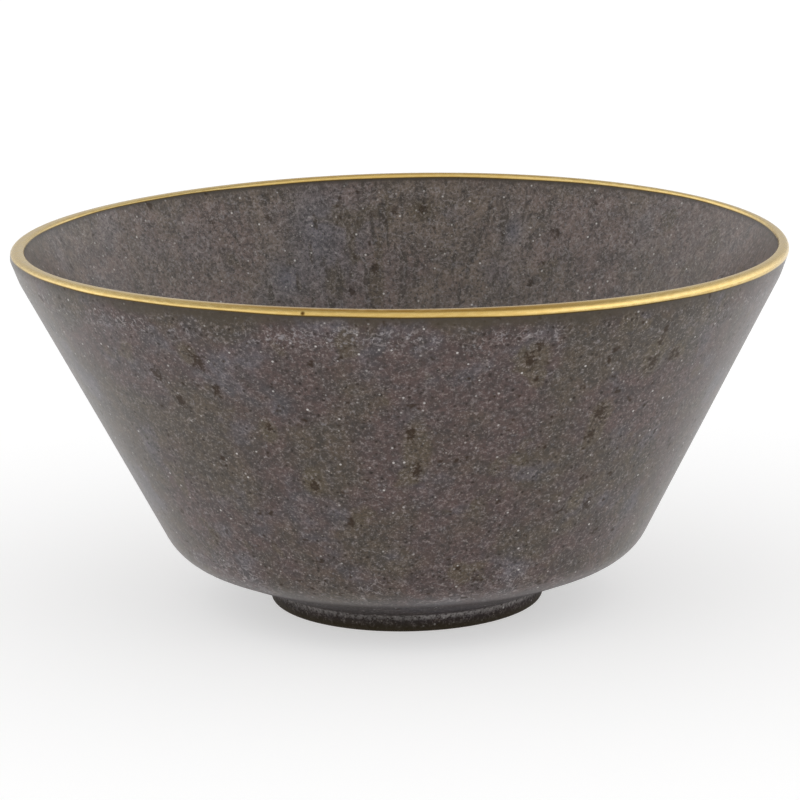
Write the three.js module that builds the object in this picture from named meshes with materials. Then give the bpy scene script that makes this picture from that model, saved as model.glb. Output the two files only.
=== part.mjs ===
// A wheel-thrown stoneware bowl: straight walls that flare from a rounded shoulder, a thin rounded lip
// and a low turned foot ring. Millimetres, +Z up, origin at the centre of the foot's underside.
import * as THREE from 'three';

// Foot ring: a flat resting ring, an outer wall that flares a little upwards, and a shallow recess inside it
const footHeight = 5.6;
const footRadiusAtTable = 42.7;
const footRadiusAtTop = 43.4;
const footInnerRadius = 37.0;
const footEdgeRound = 1.6;
const footInnerEdgeRound = 0.8;
const footJoinRound = 1.6;
const recessDepth = 3.6;
const recessRadius = 35.8;
const recessRound = 2.0;

// Outside: the underside rises in a shallow cone to the shoulder, where the wall turns up
const shoulderRadius = 72.9;
const shoulderHeight = 18.3;
const shoulderRound = 17.5;
const wallRadiusUnderLip = 117.3;
const wallHeightUnderLip = 106.0;

// Lip: a little more upright than the wall below it, with a narrow flat top, rounded over towards the outside
const bowlHeight = 114.8;
const lipOuterRadius = 120.4;
const lipOuterRound = 2.0;
const lipInnerRadius = 116.5;
const lipInnerRound = 0.8;

// Inside: a dished floor that sweeps up into a wall thinning towards the lip
const floorHeightAtCentre = 11.2;
const floorEdgeRadius = 66.5;
const floorEdgeHeight = 17.0;
const floorEdgeRound = 26.0;

// Fineness of the turned surface
const stepsAround = 80;
const pointsPerArc = 2;

// The half section, from the axis under the foot, out and up the outside, over the lip and down to the axis.
// A corner with a round is replaced by an arc of that radius, tangent to both of its sides.
const section = [
  { r: 0, z: recessDepth },
  { r: recessRadius, z: recessDepth, round: recessRound },
  { r: footInnerRadius, z: 0, round: footInnerEdgeRound },
  { r: footRadiusAtTable, z: 0, round: footEdgeRound },
  { r: footRadiusAtTop, z: footHeight, round: footJoinRound },
  { r: shoulderRadius, z: shoulderHeight, round: shoulderRound },
  { r: wallRadiusUnderLip, z: wallHeightUnderLip },
  { r: lipOuterRadius, z: bowlHeight, round: lipOuterRound },
  { r: lipInnerRadius, z: bowlHeight, round: lipInnerRound },
  { r: floorEdgeRadius, z: floorEdgeHeight, round: floorEdgeRound },
  { r: 0, z: floorHeightAtCentre },
];

// Adds the arc that rounds one corner: its centre lies on the corner's bisector, and it starts and ends
// where it touches the two sides.
function addRoundedCorner(path, before, corner, after, radius) {
  const inward = before.clone().sub(corner).normalize();
  const onward = after.clone().sub(corner).normalize();
  const halfAngle = inward.angleTo(onward) / 2;
  const bisector = inward.clone().add(onward).normalize();
  const centre = corner.clone().addScaledVector(bisector, radius / Math.sin(halfAngle));
  const touchLength = radius / Math.tan(halfAngle);
  const start = corner.clone().addScaledVector(inward, touchLength);
  const end = corner.clone().addScaledVector(onward, touchLength);
  const turnsClockwise = inward.cross(onward) > 0;
  path.lineTo(start.x, start.y);
  path.absarc(
    centre.x,
    centre.y,
    radius,
    start.clone().sub(centre).angle(),
    end.clone().sub(centre).angle(),
    turnsClockwise,
  );
}

function sectionPoints(corners) {
  const points = corners.map(({ r, z }) => new THREE.Vector2(r, z));
  const path = new THREE.Path();
  path.moveTo(points[0].x, points[0].y);
  for (let i = 1; i < corners.length; i += 1) {
    if (corners[i].round) {
      addRoundedCorner(path, points[i - 1], points[i], points[i + 1], corners[i].round);
    } else {
      path.lineTo(points[i].x, points[i].y);
    }
  }
  return path.getPoints(pointsPerArc);
}

function makeBowl() {
  const geometry = new THREE.LatheGeometry(sectionPoints(section), stepsAround);
  // The lathe turns about Y, and the bowl stands on Z
  geometry.rotateX(Math.PI / 2);
  const glaze = new THREE.MeshStandardMaterial({ color: 0x574f4a, roughness: 0.4, metalness: 0 });
  const bowl = new THREE.Mesh(geometry, glaze);
  bowl.name = 'bowl';
  return bowl;
}

const object = new THREE.Group();
object.add(makeBowl());

export default object;
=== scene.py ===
import math

import bpy
import numpy as np
from mathutils import Matrix, Vector


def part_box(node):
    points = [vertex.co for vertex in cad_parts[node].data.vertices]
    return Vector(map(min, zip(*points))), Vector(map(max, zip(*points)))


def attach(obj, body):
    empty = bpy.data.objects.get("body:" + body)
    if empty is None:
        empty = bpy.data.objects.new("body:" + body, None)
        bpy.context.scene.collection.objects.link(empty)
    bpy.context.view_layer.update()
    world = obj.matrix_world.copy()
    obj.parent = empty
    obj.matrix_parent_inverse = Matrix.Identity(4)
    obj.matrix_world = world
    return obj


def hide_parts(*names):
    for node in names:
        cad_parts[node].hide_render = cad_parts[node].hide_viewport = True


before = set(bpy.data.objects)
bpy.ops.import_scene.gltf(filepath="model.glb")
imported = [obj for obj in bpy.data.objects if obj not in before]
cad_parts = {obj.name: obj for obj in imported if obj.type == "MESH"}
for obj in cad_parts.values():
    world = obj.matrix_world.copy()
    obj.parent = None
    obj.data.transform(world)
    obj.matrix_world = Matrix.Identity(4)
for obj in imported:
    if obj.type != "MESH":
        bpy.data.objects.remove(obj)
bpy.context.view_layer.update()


# The bowl: stoneware thrown on the wheel in one piece, with its foot ring turned when the clay was
# leather-hard. It was dipped in one glaze inside and out and fired. Gold lustre was then brushed round the
# lip by hand and fixed by a last, cooler firing.
mm = 0.001
_, bowl_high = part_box("bowl")
height = bowl_high.z
widest = bowl_high.x

# The half section in metres as (radius, height, round of that corner), from the axis under the foot, out and
# up the outside, over the lip and down the inside to the axis
lip_corner_radius = widest + 0.85 * mm
section_corners = [
    (0.0, 3.6 * mm, 0.0),
    (35.8 * mm, 3.6 * mm, 2.0 * mm),
    (37.0 * mm, 0.0, 0.8 * mm),
    (42.7 * mm, 0.0, 1.6 * mm),
    (43.4 * mm, 5.6 * mm, 1.6 * mm),
    (72.9 * mm, 18.3 * mm, 17.5 * mm),
    (117.3 * mm, 106.0 * mm, 20.0 * mm),
    (lip_corner_radius, height, 2.0 * mm),
    (116.5 * mm, height, 0.8 * mm),
    (66.5 * mm, 17.0 * mm, 26.0 * mm),
    (0.0, 11.2 * mm, 0.0),
]
row_spacing = 1.8 * mm
arc_step = math.radians(6)
columns = 360


def unit(vector):
    """The vector divided by its own length."""
    return vector / np.linalg.norm(vector)


def straight(start, end):
    """The points between start and end, without either, about a row's spacing apart."""
    steps = max(1, math.ceil(np.linalg.norm(end - start) / row_spacing))
    return start + (end - start) * (np.arange(1, steps) / steps)[:, None]


def rounded_section(corners):
    """The outline through the corners. Each corner becomes an arc of its own radius that touches both of
    its sides, in equal steps of angle. Each straight stretch between arcs is cut into equal short steps."""
    points = np.array([corner[:2] for corner in corners])
    outline = [points[0]]
    for before, corner, after, (_, _, radius) in zip(points, points[1:], points[2:], corners[1:]):
        inward, onward = unit(before - corner), unit(after - corner)
        half = math.acos(np.dot(inward, onward)) / 2
        centre = corner + unit(inward + onward) * radius / math.sin(half)
        start = corner + inward * radius / math.tan(half) - centre
        sweep = math.copysign(math.pi - 2 * half, np.cross(onward, inward))
        angles = np.linspace(0, sweep, max(2, math.ceil(abs(sweep) / arc_step) + 1))
        first = math.atan2(start[1], start[0])
        arc = centre + radius * np.stack([np.cos(first + angles), np.sin(first + angles)], axis=1)
        outline += [*straight(outline[-1], arc[0]), *arc]
    outline += [*straight(outline[-1], points[-1]), points[-1]]
    return np.array(outline)


outline = rounded_section(section_corners)
run = np.concatenate([[0.0], np.cumsum(np.linalg.norm(np.diff(outline, axis=0), axis=1))])
crown = int(np.argmax(outline[:, 1]))

# The gold: brushed over the crown and a little way down each side, lower outside on the right (+X) and lower
# inside at the back (+Y), with a hand's wobble
angle = np.arange(columns) * 2 * math.pi / columns
slow_wobble = np.sin(5 * angle + 1.0) + 0.7 * np.sin(11 * angle + 2.6)
wobble_outside = 0.09 * mm * (slow_wobble + 0.5 * np.sin(23 * angle))
wobble_inside = 0.08 * mm * (np.sin(7 * angle + 0.4) + 0.6 * np.sin(16 * angle + 1.2))
gold_drop_outside = 2.15 * mm + 0.85 * mm * np.cos(angle) + wobble_outside
slant_inside = 0.4 * np.maximum(np.sin(angle), 0) ** 6 + 0.1 * np.sin(2 * angle)
gold_drop_inside = (1.1 + slant_inside) * mm + wobble_inside


def run_outside(drop):
    """How far along the section the outside lies this far below the crown."""
    return np.interp(height - drop, outline[: crown + 1, 1], run[: crown + 1])


def run_inside(drop):
    """How far along the section the inside lies this far below the crown."""
    return np.interp(drop - height, -outline[crown:, 1], run[crown:])


def ramp(start, end, rows):
    """Rows in equal steps from start up to but not including end, each of them a value for every column."""
    share = (np.arange(rows) / rows)[:, None]
    return start + (end - start) * share


# The rows of the grid: fixed ones under the lip, and ones that follow the gold's painted edges at the lip
lip_zone = 10 * mm
edge_rows = 7
gold_rows = 26
whole_ring = np.ones(columns)
lip_start, lip_end = run_outside(lip_zone), run_inside(lip_zone)
gold_start, gold_end = run_outside(gold_drop_outside), run_inside(gold_drop_inside)
rows_below = run[run < lip_start - 0.5 * row_spacing][1:]
rows_inside = run[run > lip_end + 0.5 * row_spacing][:-1]
place = np.concatenate([
    rows_below[:, None] * whole_ring,
    ramp(lip_start * whole_ring, gold_start, edge_rows),
    ramp(gold_start, gold_end, gold_rows),
    ramp(gold_end, lip_end * whole_ring, edge_rows),
    lip_end * whole_ring[None],
    rows_inside[:, None] * whole_ring,
])
first_gold_row = len(rows_below) + edge_rows
last_gold_row = first_gold_row + gold_rows

radius = np.interp(place, run, outline[:, 0])
level = np.interp(place, run, outline[:, 1])
inside = place > gold_end

# Thrown by hand, the lip is thinner on the right than on the left: the inside is a little off the centre
past_crown = np.interp(place, run[crown] + np.array([0, 1.5]) * mm, [0, 1])
off_centre = 0.6 * mm * np.cos(angle) - 0.35 * mm
radius = radius + off_centre * past_crown * (level / height) ** 2

# The kiln left it a little out of true: the rim is warped and tilted, and the wall leans by fractions of a
# millimetre to the right at the shoulder and to the left at the rim
rim_tilt = -0.34 * mm * np.cos(angle) + 0.53 * mm * np.sin(angle)
rim_warp = -0.69 * mm * np.cos(2 * angle) + 0.56 * mm * np.sin(2 * angle)
lean_heights = np.array([8, 20, 60, 115]) * mm
lean_offsets = np.array([0.11, 0.30, 0.0, -0.65]) * mm
lean = np.interp(level, lean_heights, lean_offsets)
level = level + (rim_tilt + rim_warp) * (level / height) ** 2


def closed_surface(name, radius, level, lean, poles):
    """A mesh whose rows are rings of these radii and levels, shifted along X by lean, and closed at each end
    by a fan to a point on the axis. Faces join each row to the next, anticlockwise as seen from outside."""
    rows = len(radius)
    rings = np.stack([radius * np.cos(angle) + lean, radius * np.sin(angle), level], axis=-1).reshape(-1, 3)
    points = np.concatenate([rings, [[lean[0, 0], 0, poles[0]], [lean[-1, 0], 0, poles[1]]]])
    column = np.arange(columns)
    following = (column + 1) % columns
    start = (np.arange(rows - 1) * columns)[:, None]
    above = start + columns
    quads = np.stack([start + column, start + following, above + following, above + column], axis=-1)
    bottom, top = rows * columns, rows * columns + 1
    last = (rows - 1) * columns
    under = np.stack([following, column, np.full(columns, bottom)], axis=-1)
    over = np.stack([last + column, last + following, np.full(columns, top)], axis=-1)
    corners = np.concatenate([quads.ravel(), under.ravel(), over.ravel()])
    sizes = np.concatenate([np.full((rows - 1) * columns, 4), np.full(2 * columns, 3)])
    mesh = bpy.data.meshes.new(name)
    mesh.vertices.add(len(points))
    mesh.vertices.foreach_set("co", points.ravel())
    mesh.loops.add(len(corners))
    mesh.loops.foreach_set("vertex_index", corners)
    mesh.polygons.add(len(sizes))
    mesh.polygons.foreach_set("loop_start", np.concatenate([[0], np.cumsum(sizes)[:-1]]))
    mesh.update(calc_edges=True)
    mesh.validate()
    mesh.shade_smooth()
    return mesh


bowl_mesh = closed_surface("bowl", radius, level, lean, (section_corners[0][1], section_corners[-1][1]))

# Where the glaze broke and rusted, as (degrees from +X, height, half width, half length down the wall) in
# millimetres
rust_outside = [
    (-88, 71, 4.0, 9.0),
    (-57, 78, 4.0, 4.0),
    (-71, 99, 4.5, 5.0),
    (-50, 94, 4.0, 6.0),
    (-45, 94, 3.0, 3.0),
    (-57, 71, 3.0, 4.0),
    (-106, 60, 3.5, 5.0),
    (-112, 76, 2.5, 4.0),
    (-122, 99, 3.0, 3.5),
    (-56, 49, 3.0, 4.0),
    (-79, 29, 3.0, 3.0),
]
rust_inside = [
    (95, 80, 3.0, 7.0),
    (86, 104, 4.5, 3.5),
    (103, 82, 3.5, 5.0),
    (99, 96, 1.5, 6.0),
    (92, 102, 1.5, 4.0),
    (94, 91, 1.5, 5.0),
]

# Where it pooled to a blue-grey inside, given in the same way
pools_inside = [
    (105, 97, 11.0, 18.0),
    (113, 84, 6.0, 6.0),
    (69, 98, 4.0, 5.0),
]


def stain_field(marks):
    """The sum of one soft oval bump for each mark, 1 at its middle and next to nothing a little outside it:
    e to the power of minus the squared distance, counted in half widths across and half lengths along."""
    total = np.zeros_like(place)
    for degrees, up, half_width, half_length in marks:
        turn = (angle - math.radians(degrees) + math.pi) % (2 * math.pi) - math.pi
        across = radius * turn / (half_width * mm)
        along = (level - up * mm) / (half_length * mm)
        total = total + np.exp(-(across**2) - along**2)
    return total


# Fields that the materials read: millimetres from the gold's nearer edge (negative in the gold), 1 on the
# inside, and how strongly the glaze is rusted and how deeply it pooled
from_gold = np.maximum(gold_start - place, place - gold_end) / mm
rust = np.where(inside, stain_field(rust_inside), stain_field(rust_outside))
pooled = np.where(inside, stain_field(pools_inside), 0)
far_away = 1 / mm
for field_name, field, at_poles in (
    ("from_gold", from_gold, (far_away, far_away)),
    ("inside", inside, (0, 1)),
    ("rust", rust, (0, 0)),
    ("pooled", pooled, (0, 0)),
):
    attribute = bowl_mesh.attributes.new(field_name, "FLOAT", "POINT")
    attribute.data.foreach_set("value", np.concatenate([field.ravel(), at_poles]).astype(np.float32))


# Larger iron breaks in the glaze, as (degrees from +X, height, half width) in millimetres. Each is drawn out
# to twice its width down the wall.
iron_outside = [
    (-57, 78, 1.9),
    (-121, 98, 2.2),
    (-72, 98, 1.8),
    (-71, 102, 1.2),
    (-50, 92, 2.0),
    (-50, 99, 1.2),
    (-46, 94, 1.5),
    (-53, 47, 1.6),
    (-127, 83, 1.7),
    (-130, 91, 2.0),
    (-106, 59, 1.4),
    (-119, 88, 1.5),
    (-58, 71, 1.6),
    (-112, 77, 1.1),
    (-79, 30, 0.9),
    (-59, 95, 0.9),
    (-88, 64, 1.6),
    (-89, 76, 1.3),
]
iron_inside = [
    (91, 103, 1.1),
    (95, 85, 1.2),
    (86, 104, 1.4),
    (99, 96, 0.9),
    (61, 98, 1.8),
    (64, 82, 1.0),
    (114, 103, 1.4),
    (125, 104, 1.1),
    (100, 79, 1.1),
]
iron_squeeze = np.array([1.0, 1.0, 0.5])


def on_wall(marks, wall):
    """The marks as (centre, half width) in metres. Each centre is the wall's point at the mark's height,
    turned to its angle."""
    for degrees, up, half_width in marks:
        reach = np.interp(up * mm, wall[:, 1], wall[:, 0])
        turn = math.radians(degrees)
        yield np.array([reach * math.cos(turn), reach * math.sin(turn), up * mm]), half_width * mm


iron_spots = [*on_wall(iron_outside, outline[: crown + 1]), *on_wall(iron_inside, outline[:crown:-1])]


def linear(hex_colour):
    """An sRGB hex colour as the linear red, green, blue and alpha that a shader takes."""
    coded = np.array([int(hex_colour[i : i + 2], 16) for i in (1, 3, 5)]) / 255
    return (*np.where(coded <= 0.04045, coded / 12.92, ((coded + 0.055) / 1.055) ** 2.4), 1.0)


# What the materials are put together from: each kind of node, with its settings. A step is a smooth one. It
# takes a value, where it starts and where it ends, and what it gives there, which is 0 and 1 unless stated.
# Noise takes a place, a scale, how many finer layers it has and how strong they are, and lies about 0.5.
node_kinds = {
    "position": ("ShaderNodeTexCoord", {}),
    "parts": ("ShaderNodeSeparateXYZ", {}),
    "field": ("ShaderNodeAttribute", {}),
    "noise": ("ShaderNodeTexNoise", {}),
    "cells": ("ShaderNodeTexVoronoi", {}),
    "chances": ("ShaderNodeSeparateColor", {}),
    "bump": ("ShaderNodeBump", {}),
    "step": ("ShaderNodeMapRange", {"interpolation_type": "SMOOTHSTEP"}),
    "mix": ("ShaderNodeMix", {"data_type": "RGBA"}),
    "tint": ("ShaderNodeMix", {"data_type": "RGBA", "blend_type": "MULTIPLY"}),
    "plus": ("ShaderNodeMath", {"operation": "ADD"}),
    "minus": ("ShaderNodeMath", {"operation": "SUBTRACT"}),
    "times": ("ShaderNodeMath", {"operation": "MULTIPLY"}),
    "over": ("ShaderNodeMath", {"operation": "DIVIDE"}),
    "power": ("ShaderNodeMath", {"operation": "POWER"}),
    "size": ("ShaderNodeMath", {"operation": "ABSOLUTE"}),
    "least": ("ShaderNodeMath", {"operation": "MINIMUM"}),
    "most": ("ShaderNodeMath", {"operation": "MAXIMUM"}),
    "stretch": ("ShaderNodeVectorMath", {"operation": "MULTIPLY"}),
    "shift": ("ShaderNodeVectorMath", {"operation": "ADD"}),
    "direction": ("ShaderNodeVectorMath", {"operation": "NORMALIZE"}),
    "scale": ("ShaderNodeVectorMath", {"operation": "SCALE"}),
    "distance": ("ShaderNodeVectorMath", {"operation": "DISTANCE"}),
}


def add(tree, kind, *inputs, output=None, **settings):
    """Adds one node of this kind with its settings. Each input, in the order of the node's sockets, is a
    value to set or another node's output to link. Returns the output of this name, or else the first one."""
    node_type, kind_settings = node_kinds[kind]
    node = tree.nodes.new(node_type)
    for name, value in {**kind_settings, **settings}.items():
        setattr(node, name, value)
    for socket, value in zip([socket for socket in node.inputs if socket.enabled], inputs):
        if isinstance(value, bpy.types.NodeSocket):
            tree.links.new(value, socket)
        else:
            socket.default_value = value
    first_output = next(socket for socket in node.outputs if socket.enabled)
    return node.outputs[output] if output else first_output


def per_metre(size_in_mm):
    """The scale of a pattern with features this many millimetres apart: one over that size in metres."""
    return 1 / (size_in_mm * mm)


def dots(tree, spot, spacing_in_mm, edge, middle):
    """Round spots scattered about this far apart, each as strong as the square of its own random number.
    They fade out from middle to edge, which are shares of the spacing."""
    cell = add(tree, "cells", spot, per_metre(spacing_in_mm))
    chance = add(tree, "chances", cell.node.outputs["Color"])
    return add(tree, "times", add(tree, "step", cell, edge, middle), add(tree, "power", chance, 2.0))


def new_material(name):
    """A material of this name, with its node tree and its shader."""
    material = bpy.data.materials.new(name)
    material.use_nodes = True
    return material, material.node_tree, material.node_tree.nodes["Principled BSDF"]


# Reduction-fired stoneware glaze: a dark iron-brown glass under a thin skin of fine crystals. It gives the
# eye a grey-brown ground with a salt-and-pepper grain, white crystal specks, rusty breaks and a soft sheen.
glaze, tree, shader = new_material("crystal_stoneware_glaze")
spot = add(tree, "position", output="Object")
spot_height = add(tree, "parts", spot, output="Z")
spot_side = add(tree, "size", spot_height.node.outputs["X"])
lip_distance = add(tree, "field", output="Fac", attribute_name="from_gold")
is_inside = add(tree, "field", output="Fac", attribute_name="inside")
is_outside = add(tree, "minus", 1.0, is_inside)
rusted = add(tree, "field", output="Fac", attribute_name="rust")
pool = add(tree, "field", output="Fac", attribute_name="pooled")

# Places for the glaze's downward runs: round the bowl at one radius, and up it at a quarter of the height
run_radius = 90 * mm
around = add(tree, "direction", add(tree, "stretch", spot, (1, 1, 0)))
around = add(tree, "scale", around, run_radius)
upward = add(tree, "stretch", spot, (0, 0, 0.25))
runs_spot = add(tree, "shift", around, upward)

# Clouds of olive, mauve and blue-grey in the ground, the pools, and a finer mottling of light and dark
cloud = add(tree, "noise", spot, per_metre(30), 2, 0.6)
mauve = add(tree, "step", cloud, 0.40, 0.58)
ground = add(tree, "mix", mauve, linear("#3a2e1f"), linear("#3f2d29"))
cool_cloud = add(tree, "noise", spot, per_metre(18), 3, 0.6)
ground = add(tree, "mix", add(tree, "step", cool_cloud, 0.52, 0.70), ground, linear("#443e42"))
ground = add(tree, "mix", add(tree, "times", is_inside, 0.22), ground, linear("#9c8a7e"))
ground = add(tree, "mix", add(tree, "times", pool, 0.8), ground, linear("#55535b"))
mottle = add(tree, "noise", spot, per_metre(5), 2, 0.6)
ground = add(tree, "tint", 1.0, ground, add(tree, "step", mottle, 0.3, 0.7, 0.65, 1.35))

# Rusty stains with frayed edges, and brown runs on the wall, mostly inside and in the middle
fray = add(tree, "noise", spot, per_metre(4.5), 2, 0.65)
stray_rust = add(tree, "step", add(tree, "noise", spot, per_metre(14)), 0.58, 0.72, 0.0, 0.5)
rust_here = add(tree, "plus", rusted, stray_rust)
frayed_rust = add(tree, "times", rust_here, add(tree, "plus", fray, 0.5))
rust_share = add(tree, "times", add(tree, "step", frayed_rust, 0.12, 0.6), 0.7)
ground = add(tree, "mix", rust_share, ground, linear("#46391f"))
brown_run = add(tree, "step", add(tree, "noise", runs_spot, per_metre(2.4)), 0.55, 0.68)
run_strength = add(tree, "step", is_inside, 0, 1, 0.2, 0.9)
in_the_middle = add(tree, "step", spot_side, 90 * mm, 40 * mm, 0.3, 1.0)
run_strength = add(tree, "times", run_strength, in_the_middle)
run_strength = add(tree, "times", run_strength, add(tree, "step", spot_height, 22 * mm, 55 * mm))
ground = add(tree, "mix", add(tree, "times", brown_run, run_strength), ground, linear("#332719"))

# The underside is smoother, and it is painted darker towards the foot as painted shade under the bowl. The
# glaze thins to olive in a wavering band under the gold, which is weaker inside, and faded at the sides as
# painted sheen.
underside = add(tree, "times", add(tree, "step", spot_height, 20 * mm, 12 * mm), is_outside)
# Painted shade: the underside is mixed towards dark grey-brown, fully so below 12 mm
ground = add(tree, "mix", add(tree, "times", underside, 0.75), ground, linear("#282529"))
wander = add(tree, "times", add(tree, "minus", cool_cloud, 0.5), 9.0)
wavy_lip = add(tree, "plus", lip_distance, wander)
lip_band = add(tree, "step", wavy_lip, 4.4, 1.0)
lip_band = add(tree, "times", lip_band, add(tree, "step", is_inside, 0, 1, 1.0, 0.35))
# Painted sheen: the olive band is faded at the left and right sides
lip_band = add(tree, "times", lip_band, add(tree, "step", spot_side, 65 * mm, 110 * mm, 1.0, 0.3))
smooth = add(tree, "most", lip_band, add(tree, "times", underside, 0.5))
grain_share = add(tree, "step", smooth, 0, 1, 1.0, 0.6)
grain_share = add(tree, "plus", grain_share, add(tree, "times", is_inside, 0.25))

# A grain of pale and dark crystals, weaker in the smooth places, with round dark and pale dots
grain = add(tree, "noise", spot, per_metre(1.15), 2, 0.8)
pale_grain = add(tree, "times", add(tree, "step", grain, 0.5, 0.74, 0.0, 0.36), grain_share)
ground = add(tree, "mix", pale_grain, ground, linear("#9c9290"))
dark_grain = add(tree, "times", add(tree, "step", grain, 0.5, 0.28, 0.0, 0.7), grain_share)
ground = add(tree, "mix", dark_grain, ground, linear("#1d1511"))
dark_dots = add(tree, "times", dots(tree, spot, 1.6, 0.5, 0.15), grain_share)
dark_dots = add(tree, "times", dark_dots, add(tree, "step", is_inside, 0, 1, 0.8, 0.4))
ground = add(tree, "mix", dark_dots, ground, linear("#21170f"))
pale_dots = add(tree, "times", dots(tree, spot, 1.1, 0.36, 0.1), grain_share)
ground = add(tree, "mix", add(tree, "times", pale_dots, 0.45), ground, linear("#a0978f"))

# Pale flecks of larger crystals: thicker inside, in a patchy frosted band below the lip and in another on
# the shoulder
frost_lip = add(tree, "step", wavy_lip, 3.5, 6.5)
frost_lip = add(tree, "times", frost_lip, add(tree, "step", wavy_lip, 13.0, 7.5))
frost_lip = add(tree, "times", frost_lip, add(tree, "step", is_inside, 0, 1, 0.8, 0.2))
frost_lip = add(tree, "times", frost_lip, add(tree, "step", fray, 0.40, 0.58, 0.35, 1.1))
frost_lip = add(tree, "times", frost_lip, add(tree, "step", cloud, 0.42, 0.58, 0.3, 1.15))
shoulder_top = add(tree, "times", add(tree, "step", spot_height, 34 * mm, 20 * mm), is_outside)
frost_shoulder = add(tree, "times", add(tree, "step", spot_height, 15 * mm, 18 * mm), shoulder_top)
frost_shoulder = add(tree, "times", frost_shoulder, add(tree, "step", cool_cloud, 0.46, 0.62, 0.1, 1.1))
frost = add(tree, "most", frost_lip, frost_shoulder)
frost = add(tree, "plus", frost, add(tree, "times", is_inside, 0.45))
fleck_noise = add(tree, "noise", spot, per_metre(1.6), 2, 0.7)
fleck_level = add(tree, "plus", fleck_noise, add(tree, "times", frost, 0.09))
frosted = add(tree, "plus", add(tree, "times", frost_lip, 0.6), 1.0)
fleck_strength = add(tree, "times", add(tree, "step", smooth, 0, 1, 0.4, 0.1), frosted)
flecks = add(tree, "times", add(tree, "step", fleck_level, 0.58, 0.78), fleck_strength)
ground = add(tree, "mix", flecks, ground, linear("#8f8a8c"))

# Threads of crystal along the edges of the runs, drawn where a cloudy pattern crosses its middle value
thread_noise = add(tree, "noise", spot, per_metre(3.2), 1)
crossing = add(tree, "size", add(tree, "minus", thread_noise, 0.5))
thread_strength = add(tree, "plus", add(tree, "times", frost, 0.4), 0.12)
threads = add(tree, "times", add(tree, "step", crossing, 0.03, 0.0), thread_strength)
threads = add(tree, "times", threads, add(tree, "step", grain, 0.3, 0.55))
ground = add(tree, "mix", threads, ground, linear("#a39c9a"))

# Dark iron breaks: a scatter of small ones, more of them where the glaze is rusted, and the larger ones with
# frayed edges, drawn by the distance to the nearest one in its half widths
break_level = add(tree, "plus", fray, add(tree, "times", rust_here, 0.07))
breaks = add(tree, "step", break_level, 0.62, 0.76)
squeezed_spot = add(tree, "stretch", spot, iron_squeeze)
from_iron = far_away
for centre, half_width in iron_spots:
    distance = add(tree, "distance", squeezed_spot, centre * iron_squeeze)
    from_iron = add(tree, "least", from_iron, add(tree, "over", distance, half_width))
raggedness = add(tree, "minus", add(tree, "plus", fray, grain), 1.0)
frayed_iron = add(tree, "plus", from_iron, add(tree, "times", raggedness, 3.0))
breaks = add(tree, "most", breaks, add(tree, "step", frayed_iron, 1.4, 0.3, 0.0, 0.9))
breaks = add(tree, "times", breaks, add(tree, "step", is_inside, 0, 1, 1.0, 0.8))
ground = add(tree, "mix", add(tree, "times", breaks, 0.9), ground, linear("#2c1d0e"))

# White crystal specks, a little stronger inside
specks = dots(tree, spot, 3.0, 0.16, 0.06)
specks = add(tree, "times", specks, add(tree, "step", is_inside, 0, 1, 0.8, 1.0))
ground = add(tree, "mix", specks, ground, linear("#ccc8c4"))

# The olive band under the gold with a brown line along the gold's edge, and the foot: dark olive glaze, with
# painted contact shade making it nearly black at the bottom, and a smear of frost along its upper edge
ground = add(tree, "mix", add(tree, "times", lip_band, 0.78), ground, linear("#2f2308"))
ground = add(tree, "mix", add(tree, "step", lip_distance, 0.9, 0.1, 0.0, 0.6), ground, linear("#2b200c"))
foot = add(tree, "step", spot_height, 6.2 * mm, 5.2 * mm)
# Painted contact shade: the foot's dark olive is mixed in more strongly towards the bottom
foot_olive_and_contact_shade = add(tree, "times", foot, add(tree, "step", spot_height, 4 * mm, 1 * mm, 0.15, 0.85))
ground = add(tree, "mix", foot_olive_and_contact_shade, ground, linear("#2a2314"))
smear = add(tree, "times", add(tree, "step", spot_height, 3.4 * mm, 5.2 * mm), foot)
smear = add(tree, "times", smear, add(tree, "step", cloud, 0.40, 0.58, 0.4, 0.8))
smear = add(tree, "times", smear, add(tree, "step", grain, 0.3, 0.6))
ground = add(tree, "mix", smear, ground, linear("#8a8684"))

# The resting ring, wiped clean of glaze before the firing, is bare brown clay
ring = add(tree, "times", add(tree, "step", spot_height, 0.35 * mm, 0.15 * mm), is_outside)
clay = add(tree, "mix", add(tree, "step", grain, 0.3, 0.7), linear("#4e3f34"), linear("#6a574a"))
ground = add(tree, "mix", ring, ground, clay)
tree.links.new(ground, shader.inputs["Base Color"])

# Satin where it is glassy, matt on the underside and dull in the iron, with the grain just raised
shader.inputs["IOR"].default_value = 1.5
satin = add(tree, "step", grain, 0.3, 0.7, 0.28, 0.38)
roughness = add(tree, "plus", satin, add(tree, "times", underside, 0.3))
tree.links.new(roughness, shader.inputs["Roughness"])
gloss = add(tree, "step", add(tree, "most", breaks, dark_dots), 0, 1, 0.5, 0.2)
gloss = add(tree, "times", gloss, add(tree, "step", underside, 0, 1, 1.0, 0.2))
tree.links.new(gloss, shader.inputs["Specular IOR Level"])
grain_strength, grain_height = 0.4, 0.1 * mm
bump = add(tree, "bump", grain_strength, grain_height)
tree.links.new(grain, bump.node.inputs["Height"])
tree.links.new(bump, shader.inputs["Normal"])

# Gold lustre: a film of real gold fired onto the glaze. It is a mirror-like yellow metal, softened by the
# glaze's texture and the marks of the brush. In the middle of the front and back it is painted deeper in
# colour, with a
# browner line painted along the lip there: both are painted reflection. It thins to a dark brown line at
# both of its edges.
gold, tree, shader = new_material("fired_gold_lustre")
spot = add(tree, "position", output="Object")
spot_side = add(tree, "size", add(tree, "parts", spot, output="X"))
lip_distance = add(tree, "field", output="Fac", attribute_name="from_gold")
along_rim = add(tree, "stretch", spot, (1, 1, 5))
brush = add(tree, "noise", along_rim, per_metre(2.5))
film = add(tree, "mix", add(tree, "step", brush, 0.35, 0.65), linear("#d5b878"), linear("#e3ca8c"))
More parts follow.
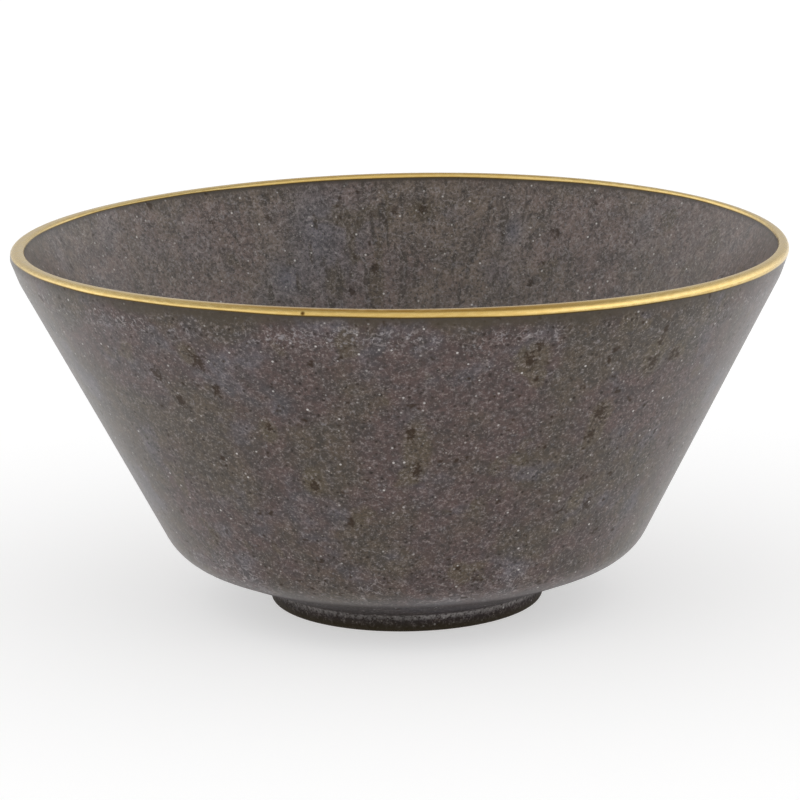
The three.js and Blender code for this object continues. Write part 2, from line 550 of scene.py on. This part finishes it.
# Painted reflection: the film is painted deeper in colour in the middle of the front and back
middle = add(tree, "step", spot_side, 75 * mm, 15 * mm, 0.1, 0.8)
film = add(tree, "mix", add(tree, "times", middle, 0.6), film, linear("#dcb55e"))
deep_side = add(tree, "step", lip_distance, -3.3, -2.8)
edge_side = add(tree, "step", lip_distance, -1.5, -2.2)
# Painted reflection: a browner line painted along the middle of the band at the front and back
painted_reflection_line = add(tree, "times", add(tree, "times", deep_side, edge_side), middle)
painted_reflection_line = add(tree, "times", painted_reflection_line, add(tree, "step", brush, 0.3, 0.6, 0.5, 1.0))
film = add(tree, "mix", painted_reflection_line, film, linear("#a87a22"))
film = add(tree, "mix", add(tree, "step", lip_distance, -0.6, -0.1), film, linear("#4a3816"))

# A small chip in the gold, at the front left
chip_place = (-27.4 * mm, -116.4 * mm, 114.1 * mm)
from_chip = add(tree, "distance", spot, chip_place)
film = add(tree, "mix", add(tree, "step", from_chip, 0.95 * mm, 0.2 * mm), film, linear("#5e421a"))
tree.links.new(film, shader.inputs["Base Color"])
tree.links.new(add(tree, "step", brush, 0.3, 0.7, 0.2, 0.3), shader.inputs["Roughness"])
shader.inputs["Metallic"].default_value = 1.0

bowl = bpy.data.objects.new("stoneware_bowl", bowl_mesh)
bpy.context.scene.collection.objects.link(bowl)
bowl_mesh.materials.append(glaze)
bowl_mesh.materials.append(gold)
face_row = np.repeat(np.arange(len(place) - 1), columns)
is_gold = (face_row >= first_gold_row) & (face_row < last_gold_row)
face_material = np.concatenate([is_gold, np.zeros(2 * columns)]).astype(np.int32)
bowl_mesh.polygons.foreach_set("material_index", face_material)
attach(bowl, "root")
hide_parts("bowl")


# The floor: a wide sheet of matt white acrylic, lit a little from below like a light table, on which the
# bowl stands.
floor_half = 4.0
floor_corners = floor_half * np.array([(-1, -1, 0), (1, -1, 0), (1, 1, 0), (-1, 1, 0)])
floor_mesh = bpy.data.meshes.new("floor")
floor_mesh.from_pydata(floor_corners.tolist(), [], [(0, 1, 2, 3)])
acrylic, tree, shader = new_material("matt_white_acrylic")
shader.inputs["Base Color"].default_value = linear("#d6d6d6")
shader.inputs["Roughness"].default_value = 1.0
shader.inputs["Specular IOR Level"].default_value = 0.0
shader.inputs["Emission Color"].default_value = linear("#ffffff")
shader.inputs["Emission Strength"].default_value = 0.48
floor = bpy.data.objects.new("floor", floor_mesh)
bpy.context.scene.collection.objects.link(floor)
floor_mesh.materials.append(acrylic)


# The light: a tent of white cloth, a little brighter behind the bowl, with a low soft box at the left and at
# the right that fades upwards, and a white screen in front.
world = bpy.data.worlds.new("light_tent")
bpy.context.scene.world = world
world.use_nodes = True
tree = world.node_tree
toward = add(tree, "parts", add(tree, "position", output="Generated")).node.outputs
soft_boxes = add(tree, "step", add(tree, "size", toward["X"]), 0.35, 0.95, 0.0, 1.1)
soft_boxes = add(tree, "times", soft_boxes, add(tree, "step", toward["Z"], 0.95, 0.25))
front_screen = add(tree, "step", toward["Y"], -0.2, -0.5, 0.0, 0.38)
cloth = add(tree, "step", toward["Y"], 0.3, 0.9, 0.52, 0.68)
light = add(tree, "plus", add(tree, "plus", soft_boxes, front_screen), cloth)
tree.links.new(light, tree.nodes["Background"].inputs["Strength"])
tree.nodes["Background"].inputs["Color"].default_value = linear("#ffffff")
bpy.context.scene.view_settings.view_transform = "Standard"


# The camera: a long lens a metre away and a little above the rim, held very slightly out of level. The
# bowl's middle is a little to the right of the picture's centre and below it.
camera_distance = 999.7 * mm
camera_elevation = math.radians(12.90)
camera_roll = math.radians(-0.915)
focal_length_in_image_widths = 3194 / 800
middle_of_bowl = Vector((0, 0, 54 * mm))
right_of_centre, below_centre = 1.28 * mm, 8.50 * mm
level_right = Vector((1, 0, 0))
level_down = Vector((0, -math.sin(camera_elevation), -math.cos(camera_elevation)))
forward = Vector((0, math.cos(camera_elevation), -math.sin(camera_elevation)))
right = math.cos(camera_roll) * level_right - math.sin(camera_roll) * level_down
down = math.sin(camera_roll) * level_right + math.cos(camera_roll) * level_down
camera_data = bpy.data.cameras.new("camera")
camera_data.sensor_width = 36
camera_data.lens = camera_data.sensor_width * focal_length_in_image_widths
camera = bpy.data.objects.new("camera", camera_data)
line_of_sight = middle_of_bowl - right_of_centre * right - below_centre * down
camera.location = line_of_sight - camera_distance * forward
camera.rotation_euler = Matrix((right, -down, -forward)).transposed().to_euler()
bpy.context.scene.collection.objects.link(camera)
bpy.context.scene.camera = camera
